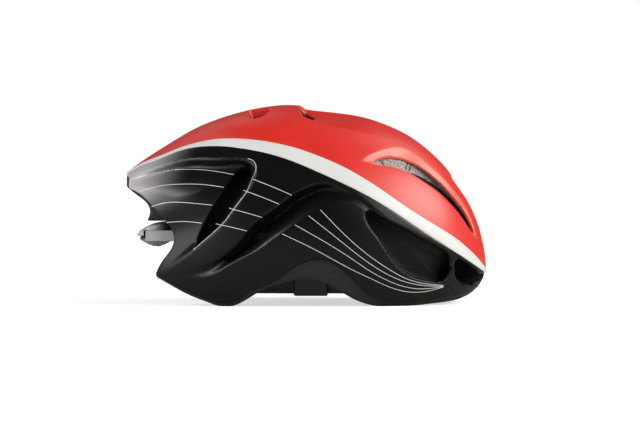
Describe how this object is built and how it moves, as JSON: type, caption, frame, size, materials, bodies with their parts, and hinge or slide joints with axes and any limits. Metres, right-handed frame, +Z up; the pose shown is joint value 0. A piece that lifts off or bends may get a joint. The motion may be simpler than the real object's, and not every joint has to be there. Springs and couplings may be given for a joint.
{
  "type": "cycling helmet",
  "caption": "Aero road cycling helmet: vented shells over a foam liner, fit pads, dial-tightened headband with height adjustment and webbing chin strap with side-release buckle.",
  "frame": {"origin": "on the surface that the helmet's rim stands on, under the middle of its bounding box", "axes": "+X forward (the way the wearer faces) and the longest way, +Y the wearer's left, +Z up through the crown"},
  "size_m": [0.2998, 0.2064, 0.1638],
  "materials": {
    "eps_foam": "moulded expanded polystyrene, fine bead texture",
    "red_shell": "matt red painted polycarbonate with a white band along its lower edge",
    "black_shell": "matt black painted polycarbonate with thin white lines",
    "pad_fabric": "brushed knit over foam",
    "hook_tape": "woven tape with plastic hooks",
    "black_nylon": "fine spark texture",
    "grey_nylon": "stippled",
    "dial_rubber": "matt",
    "screw_steel": "zinc plated",
    "webbing": "woven polyester webbing"
  },
  "bodies": {
    "helmet": {"foam_liner": "eps_foam", "upper_shell": "red_shell", "lower_shell": "black_shell", "brow_pad": "pad_fabric", "crown_pad": "pad_fabric", "hook_discs": "hook_tape", "height_clip": "black_nylon", "strap_anchors": "black_nylon", "buckle_socket": "black_nylon", "buckle_plug": "black_nylon", "chin_pad": "pad_fabric", "strap_keeper": "dial_rubber", "left_crown_pad": "pad_fabric", "left_temple_pad": "pad_fabric", "left_rear_pad": "pad_fabric", "left_temple_pin": "black_nylon", "left_front_strap": "webbing", "left_rear_strap": "webbing", "left_divider": "black_nylon", "left_cam_pin": "screw_steel", "left_chin_strap": "webbing", "right_crown_pad": "pad_fabric", "right_temple_pad": "pad_fabric", "right_rear_pad": "pad_fabric", "right_temple_pin": "black_nylon", "right_front_strap": "webbing", "right_rear_strap": "webbing", "right_divider": "black_nylon", "right_cam_pin": "screw_steel", "right_chin_strap": "webbing"},
    "fit_frame": {"rear_cradle": "black_nylon", "dial_base": "black_nylon", "dial_cover": "grey_nylon", "housing_screws": "screw_steel", "click_spring": "black_nylon", "left_nape_pad": "pad_fabric", "right_nape_pad": "pad_fabric", "left_band": "black_nylon", "right_band": "black_nylon"},
    "left_rack": {"left_rack": "black_nylon"},
    "right_rack": {"right_rack": "black_nylon"},
    "dial": {"dial_wheel": "dial_rubber", "drive_pinion": "black_nylon", "dial_screw": "screw_steel"},
    "left_cam": {"left_cam_lever": "black_nylon"},
    "right_cam": {"right_cam_lever": "black_nylon"},
    "front_arm": {"front_buckle_arm": "black_nylon"},
    "rear_arm": {"rear_buckle_arm": "black_nylon"}
  },
  "joints": [
    {"name": "fit_height", "type": "hinge", "parent": "helmet", "child": "fit_frame", "pos_m": [0.06, 0, 0.0565], "axis": [0, 1, 0], "range_deg": [-5, 0]},
    {"name": "dial_turn", "type": "hinge", "parent": "fit_frame", "child": "dial", "pos_m": [-0.124, 0, 0.053], "axis": [0, 0, -1], "range_deg": [0, 114]},
    {"name": "left_rack_slide", "type": "slide", "parent": "fit_frame", "child": "left_rack", "axis": [0, -1, 0], "range_m": [0, 0.012], "deforming": ["left_band"]},
    {"name": "right_rack_slide", "type": "slide", "parent": "fit_frame", "child": "right_rack", "axis": [0, 1, 0], "range_m": [0, 0.012], "deforming": ["right_band"]},
    {"name": "left_cam_turn", "type": "hinge", "parent": "helmet", "child": "left_cam", "pos_m": [0.004, 0.0626, 0.0109], "axis": [1, 0, 0], "range_deg": [0, 80]},
    {"name": "right_cam_turn", "type": "hinge", "parent": "helmet", "child": "right_cam", "pos_m": [0.004, -0.0626, 0.0109], "axis": [-1, 0, 0], "range_deg": [0, 80]},
    {"name": "front_arm_squeeze", "type": "hinge", "parent": "helmet", "child": "front_arm", "pos_m": [0.0111, 0.04003, 0.09673], "axis": [0, -0.6691, -0.7431], "range_deg": [0, 9], "stiffness_Nm_per_rad": 0.05},
    {"name": "rear_arm_squeeze", "type": "hinge", "parent": "helmet", "child": "rear_arm", "pos_m": [-0.0031, 0.04003, 0.09673], "axis": [0, 0.6691, 0.7431], "range_deg": [0, 9], "stiffness_Nm_per_rad": 0.05}
  ],
  "couplings": [
    {"joint": "left_rack_slide", "follows": "dial_turn", "m_per_rad": 0.006},
    {"joint": "right_rack_slide", "follows": "dial_turn", "m_per_rad": 0.006}
  ]
}
